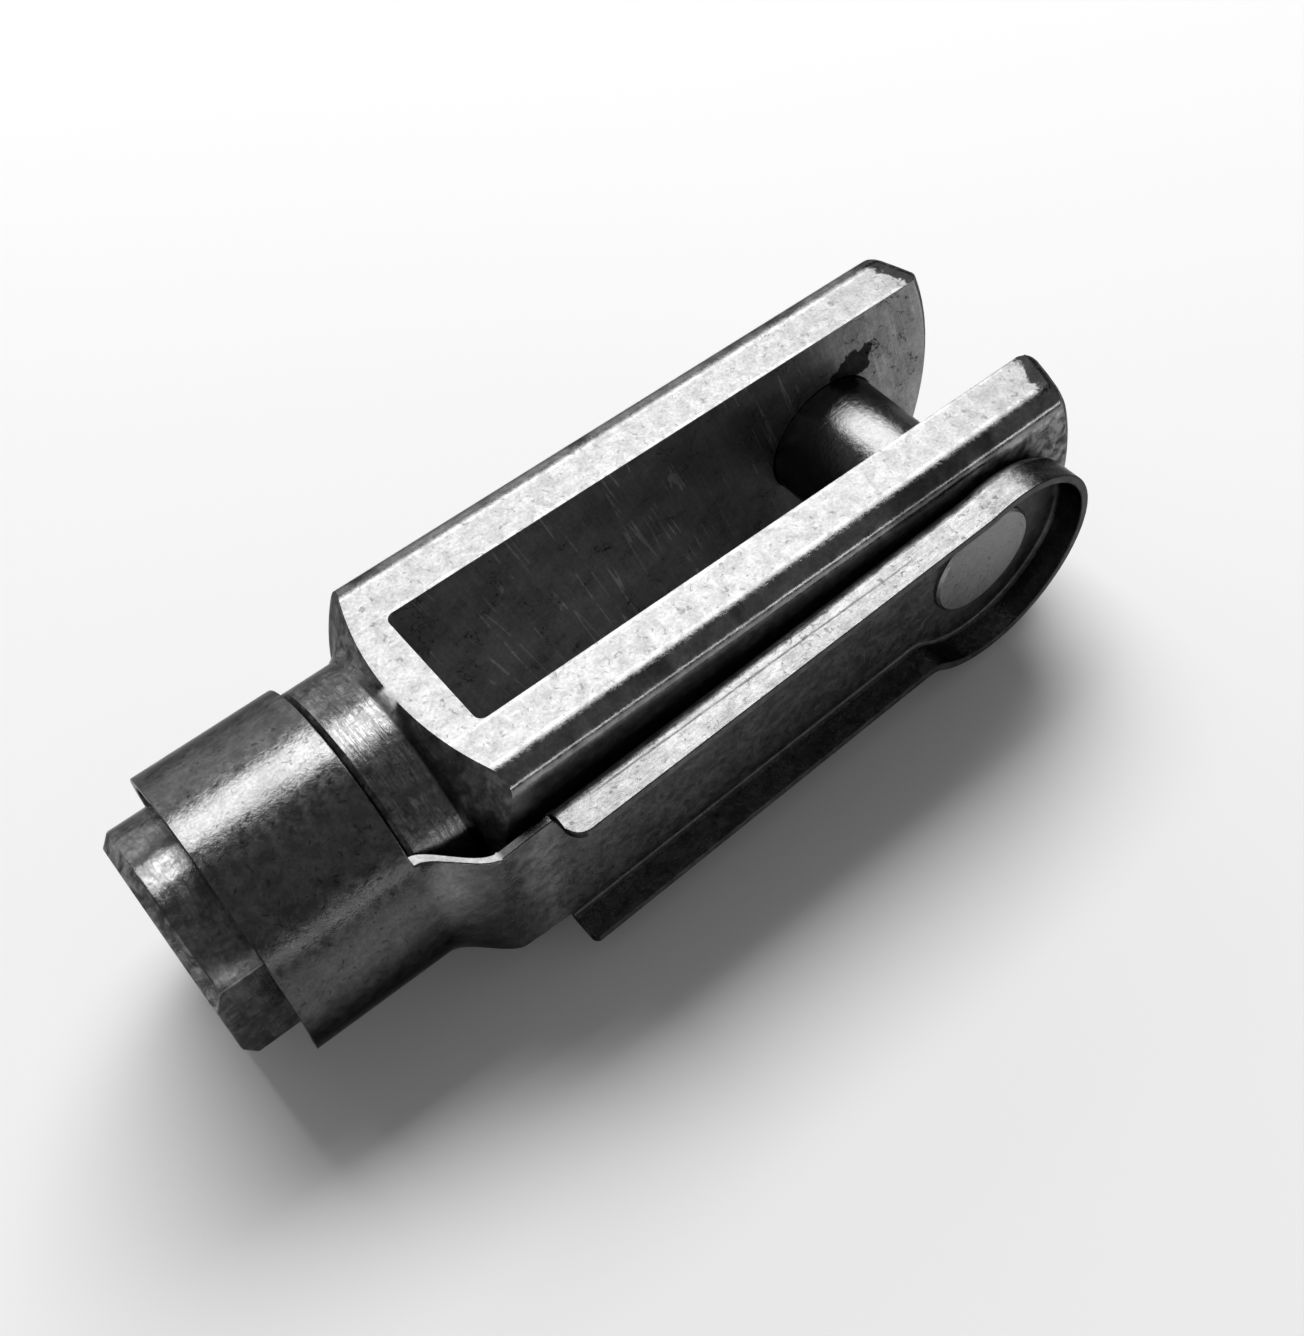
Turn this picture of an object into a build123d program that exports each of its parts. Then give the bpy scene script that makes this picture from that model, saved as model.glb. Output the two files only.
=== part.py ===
from build123d import *
import math
import os

# Fork end for a tension rod, with a spring clip that carries the cross pin.
# Millimetres. The origin is the middle of the pin's axis. +X runs towards the
# tips of the fork, Y is the pin's axis with the clip on the -Y side, +Z is up.

# Fork: square bar with a milled slot and a turned neck
BAR = 20.0              # width over the square
EDGE_R = 1.8            # rounding of the bar's long edges
SLOT_W = 10.3           # clear width between the legs
SLOT_REACH = 37.5       # pin axis to the bottom of the slot
SLOT_CORNER_R = 0.6     # small radius in the corners of the slot
TIP_REACH = 11.7        # pin axis to the middle of the turned tip
TIP_DOME_R = 26.0       # radius of the turned tip
TIP_BREAK = 0.9         # rounded edge all round the tip faces
SHOULDER_BACK = 5.0     # slot bottom back to the crown of the turned shoulder
SHOULDER_R = 25.0       # radius of the turned shoulder
NECK_D = 19.1           # thick part of the neck
NECK_END = 7.5          # slot bottom back to the step of the neck
NECK_CHAMFER = 0.3
NECK_ROOT = 0.5         # corner break where the neck runs into the shoulder
STUB_D = 16.5           # reduced end of the neck
STUB_END = 21.4         # slot bottom back to the end of the neck
STUB_CHAMFER = 0.75
FLATS_W = 14.0          # across the two spanner flats
FLATS_L = 9.0
THREAD_CORE_D = 8.5     # core hole of the M10 thread
THREAD_D = 10.0
THREAD_LEAD = 0.2       # how much wider than the thread the lead-in is

# Cross pin
PIN_D = 9.9
PIN_RUNNING = 0.05      # radial play in the bores
PIN_STICKOUT = 1.5      # past the far leg
PIN_LEAD = 1.0          # chamfer that finds the far bore
RIVET_D = 6.8           # spigot through the clip
RIVET_HEAD_D = 8.8
RIVET_HEAD_T = 0.45
RIVET_HEAD_BREAK = 0.2

# Spring clip: one folded sheet
SHEET = 0.65
CLIP_GAP = 0.25         # between the near leg and the clip, at the pin
ARM_SPRING = 0.7        # degrees that the arm stands off towards the neck
ARM_BEND_R = 1.1        # outside radius of the folds
ARM_START = 0.2         # arm starts this far past the slot bottom
ARM_UP_END = 6.8        # pin axis up to the arm's upper edge, neck end
ARM_UP_DISH = 8.0       # and where it meets the round end
ARM_LOW_END = 7.2       # pin axis down to the lower edge, neck end
ARM_LOW_DISH = 5.9      # and where it meets the round end
DISH_R = 8.35           # round end about the pin
DISH_BLEND = 2.0        # between the arm's edges and the round end
LIP_H = 2.35            # height of the flanges over the sheet
LIP_CORNER_R = 1.2      # free corner of the upper flange
LIP_NIP_R = 0.5         # and of the lower one
STRIP_UP_ROOT = 5.9     # strip above and below the axis at the collar; lower down
STRIP_LOW_ROOT = 5.2    # it stays clear of the neck when the clip swings
STRIP_H_FLAT = 5.9      # half height where it lies flat
STRIP_H_ARM = 6.1       # and where it meets the arm
STRIP_FLAT = 3.4        # the strip is flat from here, behind the slot bottom
STRIP_LAP = 0.5         # how far the strip runs on into the arm
STRIP_BOW = 6000.0      # bow of the strip where it is as good as flat
STRIP_SECTIONS = 9
COLLAR_D = 19.1         # inside, a snap fit over the end of the neck
COLLAR_BACK = 17.8      # slot bottom back to the collar's far edge
COLLAR_FRONT = 7.75     # slot bottom back to the collar's near edge
COLLAR_LIP_DEG = 25.0   # how far the lips reach below the axis
COLLAR_CORNER_R = 0.6   # free corners of the two lips

# Worked out
OVER = BAR / 10         # how far cutting shapes run past the part
ENVELOPE_R = 0.8 * BAR  # wider than the bar over its corners
BORE_D = PIN_D + 2 * PIN_RUNNING
NECK_R = NECK_D / 2
STUB_R = STUB_D / 2
WEB_IN = BAR / 2 + CLIP_GAP
WEB_OUT = WEB_IN + SHEET
COLLAR_R = COLLAR_D / 2
COLLAR_OR = COLLAR_R + SHEET


def back(distance):
    """X of a point that lies this far behind the slot bottom."""
    return -SLOT_REACH - distance


def sphere_x(apex, radius, rho, towards_tip):
    """X of a turned dome at the distance rho from the axis."""
    drop = radius - math.sqrt(radius ** 2 - rho ** 2)
    return apex - drop if towards_tip else apex + drop


def turned_envelope():
    """What the lathe leaves of the bar: domed tip, domed shoulder, neck."""
    reach = ENVELOPE_R
    tip_mid = (sphere_x(TIP_REACH, TIP_DOME_R, reach / 2, True), reach / 2)
    tip_out = (sphere_x(TIP_REACH, TIP_DOME_R, reach, True), reach)
    crown = back(SHOULDER_BACK)
    sh_out = (sphere_x(crown, SHOULDER_R, reach, False), reach)
    rho_mid = (reach + NECK_R) / 2
    sh_mid = (sphere_x(crown, SHOULDER_R, rho_mid, False), rho_mid)
    sh_in = (sphere_x(crown, SHOULDER_R, NECK_R, False), NECK_R)
    step = back(NECK_END)
    with BuildSketch(Plane.XY) as sk:
        with BuildLine():
            ThreePointArc((TIP_REACH, 0), tip_mid, tip_out)
            Line(tip_out, sh_out)
            ThreePointArc(sh_out, sh_mid, sh_in)
            Polyline(sh_in,
                     (step + NECK_CHAMFER, NECK_R),
                     (step, NECK_R - NECK_CHAMFER),
                     (step, STUB_R),
                     (back(STUB_END) + STUB_CHAMFER, STUB_R),
                     (back(STUB_END), STUB_R - STUB_CHAMFER),
                     (back(STUB_END), 0),
                     (TIP_REACH, 0))
        make_face()
        corner = sk.vertices().sort_by_distance((sh_in[0], sh_in[1], 0))[0]
        chamfer(corner, NECK_ROOT)
    # turned so that the seam falls on a corner of the bar
    return Rot(45, 0, 0) * revolve(sk.sketch, axis=Axis.X)


def clevis_fork():
    length = TIP_REACH + SLOT_REACH + STUB_END + OVER
    mid = TIP_REACH + (OVER - length) / 2
    bar = Pos(mid, 0, 0) * Box(length, BAR, BAR)
    bar = fillet(bar.edges().filter_by(Axis.X), EDGE_R)
    body = bar & turned_envelope()

    # slot, open at the tips
    slot_l = SLOT_REACH + TIP_REACH + OVER
    slot = Pos(-SLOT_REACH + slot_l / 2, 0, 0) * Box(
        slot_l, SLOT_W, BAR + OVER)
    slot = fillet(slot.edges().filter_by(Axis.Z).sort_by(Axis.X)[:2],
                  SLOT_CORNER_R)
    body = body - slot

    # rounded edges round the two tip faces
    tips = [e for f in body.faces().filter_by(GeomType.SPHERE)
            if f.center().X > 0 for e in f.edges()]
    body = fillet(tips, TIP_BREAK)

    # pin bores through both legs
    bore = Rot(90, 0, 0) * Cylinder(BORE_D / 2, BAR + OVER)
    body = body - bore

    # threaded hole through the neck, modelled at its core diameter
    hole_l = STUB_END + 2 * OVER
    hole = Pos(back(STUB_END / 2), 0, 0) * (
        Rot(0, 90, 0) * Cylinder(THREAD_CORE_D / 2, hole_l))
    lead_r = THREAD_D / 2 + THREAD_LEAD
    lead = lead_r - THREAD_CORE_D / 2
    countersink = Pos(back(STUB_END) + lead / 2, 0, 0) * (
        Rot(0, 90, 0) * Cone(lead_r, THREAD_CORE_D / 2, lead))
    body = body - hole - countersink

    # two spanner flats on the end of the neck
    cut = Pos(back(STUB_END + OVER), FLATS_W / 2, 0) * Box(
        FLATS_L + OVER, STUB_R, BAR,
        align=(Align.MIN, Align.MIN, Align.CENTER))
    return body - cut - mirror(cut, about=Plane.XZ)


def clevis_pin():
    r = PIN_D / 2
    far = BAR / 2 + PIN_STICKOUT
    head = WEB_OUT + RIVET_HEAD_T
    head_r = RIVET_HEAD_D / 2
    with BuildSketch(Plane.YZ) as sk:
        with BuildLine():
            Polyline((far, 0), (far, r - PIN_LEAD / 2), (far - PIN_LEAD, r),
                     (-WEB_IN, r), (-WEB_IN, RIVET_D / 2),
                     (-WEB_OUT, RIVET_D / 2), (-WEB_OUT, head_r),
                     (-head + RIVET_HEAD_BREAK, head_r),
                     (-head, head_r - RIVET_HEAD_BREAK),
                     (-head, 0), (far, 0))
        make_face()
    return revolve(sk.sketch, axis=Axis.Y)


def arm_outline():
    """Side view of the arm: a strip that runs into the round end."""
    x_end = -SLOT_REACH + ARM_START
    x_up = -math.sqrt(DISH_R ** 2 - ARM_UP_DISH ** 2)
    x_low = -math.sqrt(DISH_R ** 2 - ARM_LOW_DISH ** 2)
    with BuildSketch(Plane.XZ) as sk:
        with BuildLine():
            Polyline((x_low, -ARM_LOW_DISH), (x_end, -ARM_LOW_END),
                     (x_end, ARM_UP_END), (x_up, ARM_UP_DISH))
            ThreePointArc((x_up, ARM_UP_DISH), (DISH_R, 0),
                          (x_low, -ARM_LOW_DISH))
        make_face()
        joints = [v for v in sk.vertices() if v.X > x_end + SHEET]
        fillet(joints, DISH_BLEND)
    return sk.sketch


def tray():
    """Arm with its flanges, folded outwards from a flat web."""
    face = Pos(0, -WEB_IN, 0) * arm_outline()
    solid = extrude(face, SHEET + LIP_H, dir=(0, -1, 0))
    back_face = solid.faces().sort_by(Axis.Y)[-1]
    end_x = -SLOT_REACH + ARM_START
    folds = [e for e in back_face.edges()
             if abs(e.center().X - end_x) > 0.01]
    solid = fillet(folds, ARM_BEND_R)
    openings = [solid.faces().sort_by(Axis.Y)[0],
                solid.faces().sort_by(Axis.X)[0]]
    return offset(solid, amount=-SHEET, openings=openings)


def sheet_arc(x, y_in, radius, up, low):
    """Section across the sheet, bowed to an inside radius."""
    centre = y_in + radius

    def at(r, z):
        return (centre - math.sqrt(r ** 2 - z ** 2), z)

    outer = radius + SHEET
    with BuildSketch(Plane.YZ.offset(x)) as sk:
        with BuildLine():
            ThreePointArc(at(radius, -low), at(radius, 0), at(radius, up))
            Line(at(radius, up), at(outer, up))
            ThreePointArc(at(outer, up), at(outer, 0), at(outer, -low))
            Line(at(outer, -low), at(radius, -low))
        make_face()
    return sk.sketch


def strip():
    """From the collar's side out to the plane of the arm."""
    x_root = back(COLLAR_FRONT)
    x_flat = back(STRIP_FLAT)
    lean = math.tan(math.radians(ARM_SPRING))
    y_flat = -WEB_IN + lean * x_flat
    sections = []
    for i in range(STRIP_SECTIONS):
        s = i / (STRIP_SECTIONS - 1)
        ease = s * s * (3 - 2 * s)
        bow = (1 - ease) / COLLAR_R + ease / STRIP_BOW
        # it comes out in line with the arm, which leans
        run_in = lean * (x_flat - x_root) * (s ** 3 - s ** 2)
        sections.append(sheet_arc(
            x_root + (x_flat - x_root) * s,
            -COLLAR_R + (y_flat + COLLAR_R) * ease + run_in,
            1 / bow,
            STRIP_UP_ROOT + (STRIP_H_FLAT - STRIP_UP_ROOT) * s,
            STRIP_LOW_ROOT + (STRIP_H_FLAT - STRIP_LOW_ROOT) * s))
    jog = loft(sections)
    x_arm = -SLOT_REACH + ARM_START
    side = [(x_flat - SHEET / 4, STRIP_H_FLAT), (x_arm, STRIP_H_ARM),
            (x_arm + STRIP_LAP, STRIP_H_ARM)]
    with BuildSketch(Plane.XZ) as sk:
        Polygon(*side, *[(x, -h) for x, h in reversed(side)], align=None)
    flat = extrude(Pos(0, -WEB_IN, 0) * sk.sketch, SHEET, dir=(0, -1, 0))
    return jog + Rot(0, 0, ARM_SPRING) * flat


def collar():
    length = COLLAR_BACK - COLLAR_FRONT
    ring = Cylinder(COLLAR_OR, length) - Cylinder(COLLAR_R, length + OVER)
    ring = Rot(0, 90, 0) * ring
    ring = Pos(back((COLLAR_BACK + COLLAR_FRONT) / 2), 0, 0) * ring
    lip = math.radians(COLLAR_LIP_DEG)
    reach = 2 * COLLAR_OR
    with BuildSketch(Plane.YZ.offset(back(COLLAR_BACK + OVER))) as sk:
        Polygon((0, 0), (reach * math.cos(lip), -reach * math.sin(lip)),
                (reach * math.cos(lip), -reach),
                (-reach * math.cos(lip), -reach),
                (-reach * math.cos(lip), -reach * math.sin(lip)), align=None)
    ring = ring - extrude(sk.sketch, length + 2 * OVER, dir=(1, 0, 0))
    corners = [e for e in ring.edges() if abs(e.length - SHEET) < 0.01]
    return fillet(corners, COLLAR_CORNER_R)


def spring_clip():
    arm = tray()
    x_end = -SLOT_REACH + ARM_START
    corners = [e for e in arm.edges().filter_by(Axis.Z)
               if abs(e.center().X - x_end) < 0.01
               and e.center().Y < -WEB_OUT - LIP_H / 2]
    lower, upper = sorted(corners, key=lambda e: e.center().Z)
    arm = fillet(upper, LIP_CORNER_R)
    lower = arm.edges().sort_by_distance(lower.center())[0]
    arm = fillet(lower, LIP_NIP_R)
    arm = Rot(0, 0, ARM_SPRING) * arm
    clip = arm + strip() + collar()
    hole = Pos(0, -WEB_OUT, 0) * (Rot(90, 0, 0) * Cylinder(RIVET_D / 2, 2 * OVER))
    return clip - hole


SUB_PARTS = {
    "clevis_fork": clevis_fork,
    "spring_clip": spring_clip,
    "clevis_pin": clevis_pin,
}

os.makedirs("parts", exist_ok=True)
for name, make in SUB_PARTS.items():
    export_step(Part() + make(), f"parts/{name}.step")
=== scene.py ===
import math
import bpy
import bmesh
from mathutils import Matrix, Vector


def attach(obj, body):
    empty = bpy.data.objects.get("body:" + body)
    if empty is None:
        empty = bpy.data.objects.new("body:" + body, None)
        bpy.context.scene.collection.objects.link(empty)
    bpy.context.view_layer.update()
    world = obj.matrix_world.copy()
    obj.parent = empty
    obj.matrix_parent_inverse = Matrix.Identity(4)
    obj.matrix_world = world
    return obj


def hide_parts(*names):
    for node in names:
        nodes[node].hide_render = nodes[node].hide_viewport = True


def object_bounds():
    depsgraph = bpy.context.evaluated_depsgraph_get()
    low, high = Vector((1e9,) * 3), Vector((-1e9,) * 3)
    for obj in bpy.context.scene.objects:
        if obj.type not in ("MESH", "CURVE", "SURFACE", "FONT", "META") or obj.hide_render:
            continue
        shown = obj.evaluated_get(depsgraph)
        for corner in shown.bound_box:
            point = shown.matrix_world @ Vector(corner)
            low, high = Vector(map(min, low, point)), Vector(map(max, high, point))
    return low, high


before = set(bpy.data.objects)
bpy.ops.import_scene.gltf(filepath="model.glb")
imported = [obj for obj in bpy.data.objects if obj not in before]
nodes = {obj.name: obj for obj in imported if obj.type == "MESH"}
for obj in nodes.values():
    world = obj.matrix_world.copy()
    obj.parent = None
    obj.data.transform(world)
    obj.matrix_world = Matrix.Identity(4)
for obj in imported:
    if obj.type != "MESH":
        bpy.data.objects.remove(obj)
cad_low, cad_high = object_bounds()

MM = 0.001

# Sizes and places of the fork, in millimetres, as the part's source has them
BAR_HALF = 10.0
EDGE_R = 1.8             # rounding along the bar
SLOT_HALF = 5.15
SLOT_END = -37.5
TIP_DOME_R = 26.0
DOME_BACK = 14.3         # the dome's centre, back from the pin
SHOULDER = -40.5         # X where the bar's finish gives way to the turned one
SHOULDER_ZONE = (-44.9, -38.0)   # X of the shoulder, whose edges are not broken
NECK_BACK = -58.9
THREAD_R = 5.0
THREAD_CORE_R = 4.25
THREAD_PITCH = 1.5
LEAD_IN_R = 5.2          # widest radius of the thread's lead-in
THREAD_STEPS = (220, 72)         # along the hole, and round it

# Places of the clip and its pin, in millimetres
COLLAR_BACK = -55.3
COLLAR_FRONT = -45.25    # X where the collar ends and the strip begins
JOG = -41.0              # X of the middle of the strip's jog
STRIP_SEAM = -40.9       # X where the strip meets the arm
SEAM_STEP = 0.06         # more than the step that the seam has
SEAM_REACH = 0.16        # how far from the seam its points lie
ARM_BACK = -40.0         # X where the finish of the arm begins
ARM_SPRING = 0.7         # degrees that the arm stands off
RIVET_FACE = -10.97      # Y past which the pin is its riveted head

# Marks of the photo, in millimetres
STAIN = (2.8, 5.2)       # X and Z of the middle of the stain beside the pin
STAIN_R = 1.85
STAIN_POINTS = 5.0       # the stain is a ragged star
FLANGE_LINE = -12.2      # Y of the dark line of painted shade along the upper flange, at X 0
FLANGE_LINE_MIDDLE = -21.5       # X of its middle
FLANGE_LINE_HALF = 12.5  # half its length

# Edges that are broken on the worked copies, in millimetres
FORK_BREAK = 0.10
CLIP_BREAK = 0.08

# The stage, in metres, with the camera as fitted to the photo
FLOOR_SIZE = 4.0
FLOOR_GREY = 0.93
FLOOR_DROP = 0.00015     # how far the floor lies below the part
PART_MIDDLE = (-0.024, 0, 0)     # where the lamps aim
LAMP_DISTANCE = 1.0
WORLD_STRENGTH = 0.17
CAMERA_PLACE = (-0.058397216, -0.054221927, 0.087920293)
CAMERA_TURN = (35.07336, 3.21909, -39.00130)     # in degrees
CAMERA_LENS = 42.6365    # in millimetres, as is the width of its film
FILM_WIDTH = 36.0

# How much the steel reflects at a glancing angle, as a grey
GLANCING = 0.35


# Finishes: masks go from 0 to 1, and tones are greys from 0 to 1
class Finish:
    """A bare metal finish, put together from patterns in millimetres."""

    def __init__(self, name):
        self.mat = bpy.data.materials.new(name)
        self.mat.use_nodes = True
        self.tree = self.mat.node_tree
        self.shader = self.tree.nodes["Principled BSDF"]
        self.shader.inputs["Metallic"].default_value = 1.0
        self.shader.inputs["Specular Tint"].default_value = (
            GLANCING, GLANCING, GLANCING, 1)
        coords = self.tree.nodes.new("ShaderNodeTexCoord")
        scale = self.tree.nodes.new("ShaderNodeMapping")
        scale.inputs["Scale"].default_value = (1 / MM,) * 3
        self.join(coords.outputs["Object"], scale.inputs["Vector"])
        self.place = scale.outputs["Vector"]
        self.x, self.y, self.z = self.split(self.place)
        self.out = self.split(coords.outputs["Normal"])
        self.facing = [self.maths("ABSOLUTE", n) for n in self.out]
        self.height = None

    def join(self, source, target):
        self.tree.links.new(source, target)

    def feed(self, socket, value):
        if isinstance(value, (int, float)):
            socket.default_value = value
        else:
            self.join(value, socket)

    def split(self, vector):
        n = self.tree.nodes.new("ShaderNodeSeparateXYZ")
        self.join(vector, n.inputs[0])
        return n.outputs["X"], n.outputs["Y"], n.outputs["Z"]

    def maths(self, what, a, b=None):
        n = self.tree.nodes.new("ShaderNodeMath")
        n.operation = what
        self.feed(n.inputs[0], a)
        if b is not None:
            self.feed(n.inputs[1], b)
        return n.outputs[0]

    def times(self, a, b):
        return self.maths("MULTIPLY", a, b)

    def plus(self, a, b):
        return self.maths("ADD", a, b)

    def length(self, first, *others):
        """The length of a vector with these parts."""
        total = self.times(first, first)
        for part in others:
            total = self.plus(total, self.times(part, part))
        return self.maths("SQRT", total)

    def rise(self, value, low, high, to_low=0.0, to_high=1.0):
        """Goes smoothly from to_low to to_high as value goes from low to high."""
        n = self.tree.nodes.new("ShaderNodeMapRange")
        n.interpolation_type = "SMOOTHSTEP"
        up = high > low
        self.feed(n.inputs["Value"], value)
        n.inputs["From Min"].default_value = low if up else high
        n.inputs["From Max"].default_value = high if up else low
        n.inputs["To Min"].default_value = to_low if up else to_high
        n.inputs["To Max"].default_value = to_high if up else to_low
        return n.outputs["Result"]

    def hump(self, value, middle, half, soft):
        """1 within half of the middle, 0 past half + soft."""
        away = self.maths("ABSOLUTE", self.maths("SUBTRACT", value, middle))
        return self.rise(away, half + soft, half)

    def mix(self, amount, a, b):
        n = self.tree.nodes.new("ShaderNodeMix")
        n.data_type = "FLOAT"
        self.feed(n.inputs["Factor"], amount)
        self.feed(n.inputs["A"], a)
        self.feed(n.inputs["B"], b)
        return n.outputs["Result"]

    def drawn(self, stretch=(1, 1, 1), turn=(0, 0, 0), shift=(0, 0, 0)):
        """The place, turned and then stretched, for grain with a direction."""
        n = self.tree.nodes.new("ShaderNodeMapping")
        n.vector_type = "TEXTURE"
        n.inputs["Scale"].default_value = [1 / s for s in stretch]
        n.inputs["Rotation"].default_value = [math.radians(t) for t in turn]
        n.inputs["Location"].default_value = shift
        self.join(self.place, n.inputs["Vector"])
        return n.outputs["Vector"]

    def noise(self, scale, vector=None, detail=3.0, rough=0.55, twist=0.0):
        n = self.tree.nodes.new("ShaderNodeTexNoise")
        n.inputs["Scale"].default_value = scale
        n.inputs["Detail"].default_value = detail
        n.inputs["Roughness"].default_value = rough
        n.inputs["Distortion"].default_value = twist
        self.join(vector or self.place, n.inputs["Vector"])
        return n.outputs["Fac"]

    def shade(self, tone, where, factor):
        """The tone, multiplied by the factor where the mask is 1."""
        return self.times(tone, self.mix(where, 1.0, factor))

    def hairs(self, pattern, thin):
        """Thin lines, where a pattern passes its middle."""
        return self.hump(pattern, 0.5, thin, thin)

    def carve(self, height, microns):
        """Adds a relief of so many thousandths of a millimetre."""
        deep = self.times(height, microns)
        self.height = deep if self.height is None else self.plus(self.height, deep)

    def done(self, tone, roughness):
        self.join(tone, self.shader.inputs["Base Color"])
        self.join(roughness, self.shader.inputs["Roughness"])
        bump = self.tree.nodes.new("ShaderNodeBump")
        bump.inputs["Strength"].default_value = 1.0
        bump.inputs["Distance"].default_value = MM / 1000
        self.join(self.height, bump.inputs["Height"])
        self.join(bump.outputs["Normal"], self.shader.inputs["Normal"])
        return self.mat


def milled_steel():
    """Bar steel: mottled flat faces, bright rounded edges, turned neck."""
    f = Finish("milled_steel")
    blotch = f.noise(0.35, detail=4, rough=0.6)
    mottle = f.noise(1.3, detail=5, rough=0.65, twist=0.4)
    speck = f.noise(4.4, detail=3, rough=0.62)
    cloud = f.noise(0.9, detail=4, rough=0.6, twist=0.5)
    pits = f.rise(f.noise(2.0, detail=3, rough=0.55, twist=0.8), 0.60, 0.68)

    # the milled faces end in a ragged line where the rounding begins
    on_bar = f.rise(f.x, SHOULDER - 0.6, SHOULDER + 0.6)
    ragged = f.plus(f.facing[2], f.rise(speck, 0.3, 0.7, -0.02, 0.02))
    # the dome of the tip is worn dark, with a ragged edge
    # the flat faces turn dark in a ragged band where they meet the dome of the tip
    from_dome = f.length(f.plus(f.x, DOME_BACK), f.y, f.z)
    tip_dark_band = f.times(f.rise(f.x, 0.0, 2.0), f.rise(
        f.plus(from_dome, f.rise(mottle, 0.35, 0.65, -0.25, 0.25)),
        TIP_DOME_R - 1.5, TIP_DOME_R - 1.1))
    flat = f.times(f.rise(ragged, 0.955, 0.985), on_bar)
    side = f.times(f.rise(f.facing[1], 0.93, 0.98), on_bar)
    # painted highlights: lighter lines along the edges of the milled faces
    from_axis = f.maths("ABSOLUTE", f.y)
    painted_edge_highlight = f.plus(f.hump(from_axis, SLOT_HALF + 0.16, 0.05, 0.08),
                       f.hump(from_axis, BAR_HALF - EDGE_R - 0.08, 0.06, 0.1))
    in_slot = f.times(f.rise(from_axis, SLOT_HALF + 0.1, SLOT_HALF + 0.05),
                      f.rise(f.facing[1], 0.6, 0.9))
    outer_side = f.times(side, f.rise(from_axis, 7.0, 8.0))
    turned = f.maths("SUBTRACT", 1.0, on_bar)
    end_face = f.rise(f.facing[0], 0.45, 0.65)
    stub = f.rise(f.x, COLLAR_BACK + 0.2, COLLAR_BACK)
    # painted shade: the turned neck darkens where it steps up into the shoulder
    painted_shade_at_neck_root = f.times(f.times(turned, f.rise(f.x, SHOULDER - 0.9, SHOULDER - 0.7)),
                        f.rise(f.y, 4.0, 1.0))

    # turned rings round the neck, and fine drawing marks along the bar
    rings = f.noise(6.0, f.drawn((1.0, 0.08, 0.08)), detail=5, rough=0.75)
    drawing = f.noise(3.5, f.drawn((0.03, 1.0, 1.0)), detail=4, rough=0.65)
    # marks of the slotting cutter, on a slant across the walls of the slot
    cutter = f.noise(3.2, f.drawn((1.0, 1.0, 0.05), turn=(0, -18, 0)),
                     detail=6, rough=0.78, twist=0.25)
    here_and_there = f.rise(f.noise(0.3, f.drawn(shift=(5, 1, 2)), detail=2), 0.47, 0.55)
    scores = f.times(f.times(here_and_there, f.rise(f.x, 1.0, -4.0, 0.25, 1.0)), f.hairs(
        f.noise(0.7, f.drawn((1.0, 1.0, 0.035), turn=(0, -18, 0), shift=(7, 0, 3)),
                detail=2, rough=0.5), 0.006))
    cracks = f.times(f.rise(blotch, 0.50, 0.44), f.hairs(
        f.noise(0.55, f.drawn((1.0, 1.0, 0.6), turn=(0, -30, 0), shift=(1, 4, 9)),
                detail=4, rough=0.6, twist=0.5), 0.005))
    # a dark stain beside the pin, inside the far leg
    stain_edge = f.noise(0.8, f.drawn(shift=(3, 0, 1)), detail=2, rough=0.5)
    along, up = f.plus(f.x, -STAIN[0]), f.plus(f.z, -STAIN[1])
    points = f.maths("COSINE", f.times(STAIN_POINTS, f.maths("ARCTAN2", up, along)))
    from_stain = f.plus(f.length(along, up), f.times(points, 0.3))
    from_stain = f.plus(from_stain, f.rise(stain_edge, 0.3, 0.7, -0.4, 0.4))
    stain = f.rise(from_stain, STAIN_R, STAIN_R - 0.15)
    stain = f.times(f.times(stain, in_slot), f.rise(f.y, 4.0, 5.0))
    patches = f.rise(f.noise(0.9, detail=3, rough=0.6, twist=0.5), 0.38, 0.6)

    # dark dashes along the rounded edges
    rounding = f.times(f.rise(f.facing[1], 0.99, 0.97), f.rise(f.facing[0], 0.3, 0.2))
    dashes = f.rise(f.noise(0.5, f.drawn((0.3, 0.1, 0.1), shift=(2, 0, 0)), detail=2),
                    0.42, 0.5)

    # relief, then tone, then roughness
    f.carve(mottle, f.mix(flat, 14.0, 22.0))
    f.carve(speck, f.mix(flat, 3.0, 5.5))
    f.carve(f.times(rings, turned), 34.0)
    f.carve(f.times(drawing, f.maths("SUBTRACT", on_bar, flat)), 5.0)
    f.carve(f.times(cutter, in_slot), 22.0)
    f.carve(f.times(scores, in_slot), -12.0)
    f.carve(f.times(cracks, in_slot), -20.0)

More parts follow.
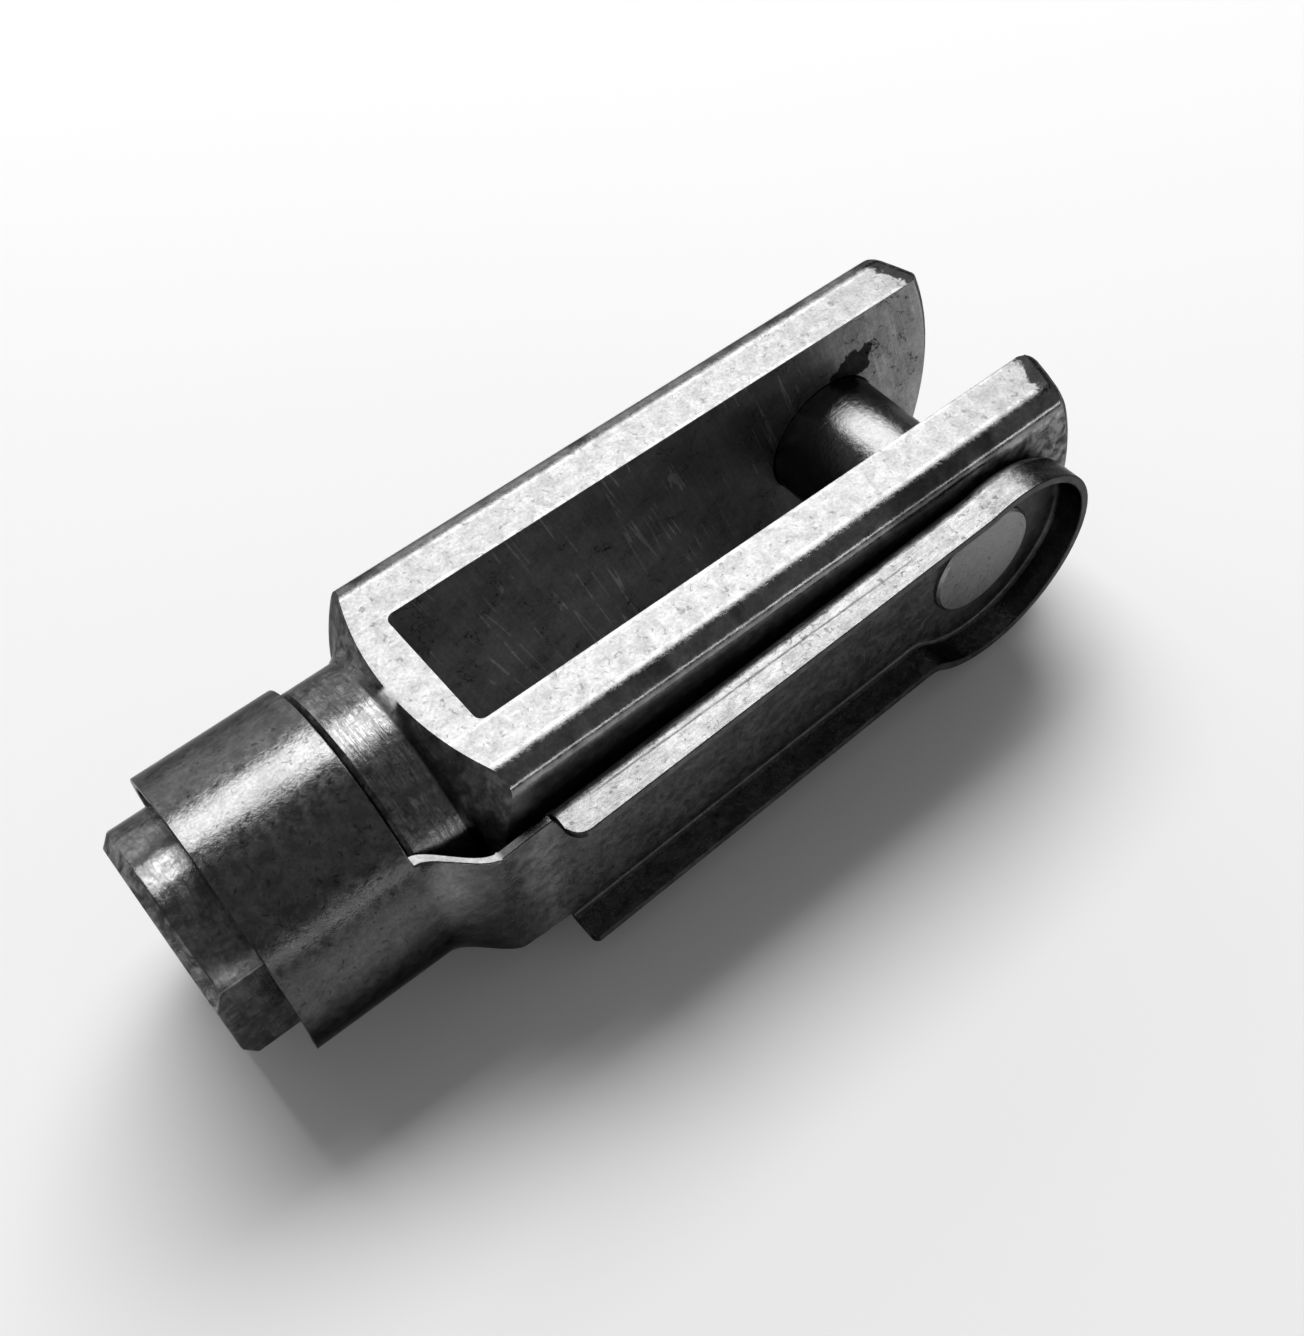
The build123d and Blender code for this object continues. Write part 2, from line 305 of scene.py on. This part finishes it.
    tone = f.mix(rounding, 0.16, f.mix(dashes, 0.11, 0.24))
    tone = f.mix(flat, f.mix(turned, tone, 0.165), 0.152)
    tone = f.shade(tone, in_slot, f.times(f.rise(f.x, -34.0, -6.0, 2.1, 1.9),
                                          f.rise(f.x, -2.0, 4.0, 1.0, 0.96)))
    tone = f.times(tone, f.mix(in_slot, f.rise(mottle, 0.3, 0.7, 0.80, 1.15), 1.0))
    tone = f.times(tone, f.rise(speck, 0.3, 0.7, 0.84, 1.12))
    tone = f.times(tone, f.mix(in_slot, f.rise(cloud, 0.32, 0.66, 0.82, 1.1), 1.0))
    tone = f.shade(tone, flat, f.rise(f.x, -6.0, 9.0, 1.0, 0.84))
    tone = f.shade(tone, f.times(pits, f.mix(flat, turned, 1.0)), 0.6)
    tone = f.shade(tone, in_slot, f.rise(blotch, 0.35, 0.65, 0.84, 1.12))
    tone = f.shade(tone, in_slot, f.rise(cutter, 0.3, 0.72, 0.88, 1.14))
    tone = f.shade(tone, f.times(in_slot, scores), 1.8)
    tone = f.shade(tone, f.times(in_slot, cracks), 0.35)
    # painted highlight: the milled faces are lighter along their edges
    tone = f.shade(tone, f.times(painted_edge_highlight, flat), f.mix(patches, 1.1, 1.3))
    tone = f.shade(tone, stain, 0.14)
    tone = f.shade(tone, f.times(tip_dark_band, flat), 0.1)
    tone = f.shade(tone, f.times(turned, patches), f.mix(
        stub, f.rise(rings, 0.38, 0.58, 0.6, 1.5), f.rise(rings, 0.38, 0.58, 1.15, 1.5)))
    # painted shade at the root of the neck
    tone = f.shade(tone, painted_shade_at_neck_root, 0.15)
    # the outer side is lighter near the tip, with smudges: the smudges are real, the
    # lightness is painted light
    tone = f.shade(tone, f.times(outer_side, f.rise(f.x, -4.0, 2.0)),
                   f.rise(cloud, 0.35, 0.62, 0.7, 1.9))
    tone = f.shade(tone, end_face, f.rise(cloud, 0.35, 0.65, 0.75, 1.5))
    rough = f.mix(flat, f.mix(turned, 0.12, 0.2), 0.27)
    rough = f.mix(stub, rough, 0.16)
    rough = f.mix(side, rough, 0.45)
    rough = f.mix(in_slot, rough, 0.45)
    rough = f.mix(end_face, rough, 0.5)
    rough = f.plus(rough, f.rise(mottle, 0.35, 0.65, -0.03, 0.06))
    return f.done(tone, rough)


def rolled_sheet():
    """Spring sheet: mottled, with streaks along its folds."""
    f = Finish("rolled_sheet")
    speck = f.noise(4.6, detail=3, rough=0.62)
    on_arm = f.rise(f.x, ARM_BACK - 2.0, ARM_BACK + 2.0)
    ragged = f.plus(f.facing[2], f.rise(speck, 0.3, 0.7, -0.03, 0.03))
    flat = f.times(f.rise(ragged, 0.93, 0.975), on_arm)
    round_collar = f.rise(f.x, COLLAR_FRONT + 1.25, COLLAR_FRONT - 0.25)
    # painted shade: the cut edge along the top of the strip is darkened where it meets the
    # arm
    painted_shade_on_cut_edge = f.times(f.times(f.hump(f.x, JOG + 1.8, 1.5, 0.5),
                               f.rise(f.facing[2], 0.7, 0.9)),
                       f.rise(f.z, 5.4, 5.6))
    blotch = f.noise(0.4, detail=4, rough=0.6)
    mottle = f.noise(1.3, detail=5, rough=0.65, twist=0.4)
    pits = f.rise(f.noise(2.2, detail=3, rough=0.55, twist=0.7), 0.60, 0.69)
    streaks = f.noise(4.0, f.drawn((0.07, 1.0, 1.0), turn=(0, 0, -ARM_SPRING)),
                      detail=5, rough=0.75)
    scuffs = f.noise(1.6, f.drawn((0.35, 1.0, 1.0), turn=(0, 8, -ARM_SPRING)),
                     detail=5, rough=0.7, twist=0.6)
    folds = f.times(on_arm, f.rise(f.facing[1], 0.95, 0.7))
    web = f.times(on_arm, f.rise(f.facing[1], 0.93, 0.99))
    # a dark line along the upper flange, which is painted shade; the jog, lighter with
    # painted light; the outer bends, lighter with a painted highlight over real streaks;
    # the inner bends, darker with painted shade
    across = f.plus(f.y, f.times(f.x, math.tan(math.radians(ARM_SPRING))))
    painted_shade_along_flange = f.times(f.times(f.hump(across, FLANGE_LINE, 0.04, 0.07),
                             f.rise(f.facing[2], 0.9, 0.95)),
                     f.times(f.hump(f.x, FLANGE_LINE_MIDDLE, FLANGE_LINE_HALF, 1.5),
                             f.rise(f.z, 4.0, 5.0)))
    jog = f.times(f.hump(f.x, JOG, 2.5, 2.0), f.rise(f.facing[1], 0.4, 0.7))
    bends = f.times(on_arm, f.times(f.rise(f.out[1], 0.12, 0.25),
                                    f.rise(f.out[1], 0.98, 0.93)))
    inner_bends = f.times(on_arm, f.times(f.rise(f.out[1], -0.06, -0.2),
                                          f.rise(f.out[1], -0.98, -0.93)))

    f.carve(mottle, 24.0)
    f.carve(speck, 8.0)
    f.carve(f.times(streaks, folds), 16.0)

    tone = f.mix(flat, 0.105, 0.152)
    tone = f.shade(tone, round_collar, 1.35)
    # painted shade: the collar is darker on its flank that faces -Y
    tone = f.shade(tone, round_collar, f.rise(f.out[1], -0.55, -0.85, 1.0, 0.62))
    # painted light: the lower flange is lighter than the upper one
    tone = f.shade(tone, f.times(flat, f.rise(f.z, -3.0, -4.0)), 1.7)
    tone = f.times(tone, f.rise(mottle, 0.3, 0.7, 0.78, 1.16))
    tone = f.times(tone, f.rise(blotch, 0.3, 0.7, 0.85, 1.12))
    tone = f.times(tone, f.rise(speck, 0.3, 0.7, 0.86, 1.10))
    tone = f.shade(tone, folds, f.rise(scuffs, 0.3, 0.65, 0.74, 1.12))
    tone = f.shade(tone, f.times(pits, f.mix(flat, round_collar, 1.0)), 0.5)
    # painted shade on the cut edge
    tone = f.shade(tone, painted_shade_on_cut_edge, 0.25)
    # the outer bends are lighter along their streaks: the streaks are real, the lightness
    # is a painted highlight
    tone = f.shade(tone, bends, f.rise(streaks, 0.4, 0.6, 0.8, 2.0))
    # painted shade: the inner bends are darker
    tone = f.shade(tone, inner_bends, 0.7)
    # the web's tone is raised, most towards the collar; the rise towards the collar is
    # painted light
    tone = f.shade(tone, web, f.rise(f.x, -34.0, -4.0, 1.9, 1.2))
    # painted shade: a dark line along the upper flange
    tone = f.shade(tone, painted_shade_along_flange, f.rise(streaks, 0.4, 0.6, 0.3, 0.7))
    # painted light: the jog is lighter
    tone = f.shade(tone, jog, 1.6)
    rough = f.mix(flat, 0.2, 0.25)
    rough = f.mix(web, rough, 0.42)
    rough = f.mix(bends, rough, 0.45)
    rough = f.mix(inner_bends, rough, 0.3)
    rough = f.plus(rough, f.rise(mottle, 0.35, 0.65, -0.03, 0.07))
    return f.done(tone, rough)


def turned_pin():
    """Turned pin: fine rings, and a dull riveted head."""
    f = Finish("turned_pin")
    head = f.rise(f.y, RIVET_FACE + 0.02, RIVET_FACE - 0.03)
    rings = f.noise(6.0, f.drawn((0.04, 1.0, 0.04)), detail=4, rough=0.65)
    mottle = f.noise(2.6, detail=4, rough=0.7, twist=0.3)
    speck = f.noise(2.6, detail=3, rough=0.55, twist=0.8)
    f.carve(f.times(rings, f.maths("SUBTRACT", 1.0, head)), 10.0)
    f.carve(mottle, 28.0)
    f.carve(f.noise(4.0, detail=3), f.mix(head, 9.0, 2.0))
    tone = f.mix(head, 0.14, 0.32)
    tone = f.times(tone, f.rise(mottle, 0.3, 0.7, 0.85, 1.12))
    tone = f.shade(tone, f.times(head, f.rise(speck, 0.60, 0.68)), 0.5)
    rough = f.plus(f.mix(head, 0.2, 0.34), f.rise(mottle, 0.35, 0.65, -0.02, 0.06))
    return f.done(tone, rough)


finishes = {"clevis_fork": milled_steel(), "spring_clip": rolled_sheet(),
            "clevis_pin": turned_pin()}
for node, finish in finishes.items():
    nodes[node].data.materials.clear()
    nodes[node].data.materials.append(finish)


# Worked copies: the nodes' shapes with their sharp edges broken
def worked_copy(node, name, body):
    """A merged copy that stands for the node; its mesh is still to be worked."""
    mesh = bpy.data.meshes.new(name)
    obj = bpy.data.objects.new(name, mesh)
    bpy.context.collection.objects.link(obj)
    mesh.materials.append(finishes[node])
    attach(obj, body)
    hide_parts(node)
    bm = bmesh.new()
    bm.from_mesh(nodes[node].data)
    bmesh.ops.remove_doubles(bm, verts=bm.verts, dist=1e-6)
    # the triangles of a flat face become one face again
    bmesh.ops.dissolve_limit(bm, angle_limit=math.radians(0.05),
                             verts=bm.verts, edges=bm.edges)
    return obj, bm


def break_edges(bm, size, least=28.0, spared=(0, 0)):
    """Rounds the edges sharper than least degrees.

    The shortest, and those in the spared stretch of X, stay as they are.
    """
    sharp = [e for e in bm.edges if len(e.link_faces) == 2
             and not spared[0] < (e.verts[0].co.x + e.verts[1].co.x) / (2 * MM) < spared[1]
             and e.calc_face_angle() > math.radians(least)
             and e.calc_length() > 1.2 * size * MM]
    bmesh.ops.bevel(bm, geom=sharp, offset=size * MM, offset_type="OFFSET",
                    segments=2, profile=0.5, affect="EDGES", material=-1,
                    clamp_overlap=False, loop_slide=True)


def into_object(bm, obj, keep_sharp=38.0):
    """Gives the worked mesh to its object, smooth over edges below keep_sharp degrees."""
    bm.normal_update()
    for face in bm.faces:
        face.smooth = True
    for edge in bm.edges:
        edge.smooth = edge.calc_face_angle(0.0) < math.radians(keep_sharp)
    bm.to_mesh(obj.data)
    bm.free()
    # the normals that the node brought along no longer fit
    brought = obj.data.attributes.get("custom_normal")
    if brought:
        obj.data.attributes.remove(brought)
    even = obj.modifiers.new("even_normals", "WEIGHTED_NORMAL")
    even.keep_sharp = True


def cut_thread(bm):
    """Turns the plain core hole through the neck into a threaded one."""
    # the hole's wall and lead-in, between the broken edges of its two ends
    hole = [f for f in bm.faces if all(
        math.hypot(v.co.y, v.co.z) < (LEAD_IN_R + 0.05) * MM
        and NECK_BACK * MM < v.co.x < (SLOT_END - 0.05) * MM for v in f.verts)]
    bmesh.ops.delete(bm, geom=hole, context="FACES")
    first, last = SLOT_END - 0.25, NECK_BACK + 0.2
    tube = bmesh.ops.create_grid(bm, x_segments=THREAD_STEPS[0],
                                 y_segments=THREAD_STEPS[1], size=0.5)["verts"]
    # a 60 degree thread with a root flat of an eighth of the pitch, which runs out
    # towards the slot over one pitch
    for v in tube:
        x = first + (last - first) * (v.co.x + 0.5)
        turn = 2 * math.pi * (v.co.y + 0.5)
        across = abs((x / THREAD_PITCH - turn / (2 * math.pi)) % 1 - 0.5) * THREAD_PITCH
        depth = THREAD_R - THREAD_CORE_R - math.sqrt(3) * max(0, across - THREAD_PITCH / 16)
        run_out = min(1, max(0, (first - 0.2 - x) / THREAD_PITCH))
        r = max(THREAD_CORE_R + max(0, depth) * run_out, LEAD_IN_R - (x - NECK_BACK))
        v.co = Vector((x, r * math.cos(turn), r * math.sin(turn))) * MM
    bmesh.ops.remove_doubles(bm, verts=tube, dist=1e-7)
    rims = [e for e in bm.edges if e.is_boundary]
    for end in (first, last):
        bmesh.ops.bridge_loops(bm, edges=[
            e for e in rims if abs(e.verts[0].co.x / MM - end) < 0.5])
    bmesh.ops.recalc_face_normals(bm, faces=bm.faces)


fork, bm = worked_copy("clevis_fork", "fork_body", "fork")
break_edges(bm, FORK_BREAK, spared=SHOULDER_ZONE)
cut_thread(bm)
into_object(bm, fork)

clip, bm = worked_copy("spring_clip", "clip_sheet", "clip")
# the strip runs into the arm without its step of a few hundredths
bmesh.ops.remove_doubles(bm, dist=SEAM_STEP * MM, verts=[
    v for v in bm.verts if abs(v.co.x / MM - STRIP_SEAM) < SEAM_REACH])
break_edges(bm, CLIP_BREAK, least=50.0)
into_object(bm, clip, keep_sharp=20.0)


# The stage
def flat_plane(name, size, colour):
    mesh = bpy.data.meshes.new(name)
    bm = bmesh.new()
    bmesh.ops.create_grid(bm, x_segments=1, y_segments=1, size=size / 2)
    bm.to_mesh(mesh)
    bm.free()
    obj = bpy.data.objects.new(name, mesh)
    bpy.context.collection.objects.link(obj)
    mat = bpy.data.materials.new(name + "_paint")
    mat.use_nodes = True
    shader = mat.node_tree.nodes["Principled BSDF"]
    shader.inputs["Base Color"].default_value = (*colour, 1.0)
    shader.inputs["Roughness"].default_value = 0.9
    shader.inputs["Specular IOR Level"].default_value = 0.1
    mesh.materials.append(mat)
    return obj


floor = flat_plane("floor", FLOOR_SIZE, (FLOOR_GREY,) * 3)
floor.location = (0, 0, cad_low.z - FLOOR_DROP)


def softbox(name, towards, width, depth, radiance):
    """A rectangular lamp that faces the part; its radiance is the same at any size."""
    data = bpy.data.lights.new(name, "AREA")
    data.shape = "RECTANGLE"
    data.size = width
    data.size_y = depth
    data.energy = radiance * math.pi * width * depth
    obj = bpy.data.objects.new(name, data)
    bpy.context.collection.objects.link(obj)
    out = Vector(towards).normalized()
    side = (Vector((1, 0, 0)) - out * out.x).normalized()
    turn = Matrix((side, out.cross(side), out)).transposed().to_quaternion()
    obj.matrix_world = Matrix.LocRotScale(
        Vector(PART_MIDDLE) + out * LAMP_DISTANCE, turn, None)


softbox("overhead_softbox", (0.33, 0.50, 0.80), 0.95, 0.50, 7.2)
softbox("back_wall", (0.20, 0.96, 0.30), 1.8, 0.60, 0.9)
softbox("low_strip", (0.33, -0.92, 0.20), 1.2, 0.08, 3.2)

world = bpy.data.worlds.new("studio")
bpy.context.scene.world = world
world.use_nodes = True
sky = world.node_tree.nodes["Background"]
sky.inputs["Color"].default_value = (1, 1, 1, 1)
sky.inputs["Strength"].default_value = WORLD_STRENGTH

cam_data = bpy.data.cameras.new("camera")
cam_data.lens = CAMERA_LENS
cam_data.sensor_width = FILM_WIDTH
cam_data.clip_start = 0.005
cam = bpy.data.objects.new("camera", cam_data)
bpy.context.collection.objects.link(cam)
cam.location = CAMERA_PLACE
cam.rotation_euler = [math.radians(a) for a in CAMERA_TURN]
bpy.context.scene.camera = cam
bpy.context.scene.view_settings.view_transform = "Standard"
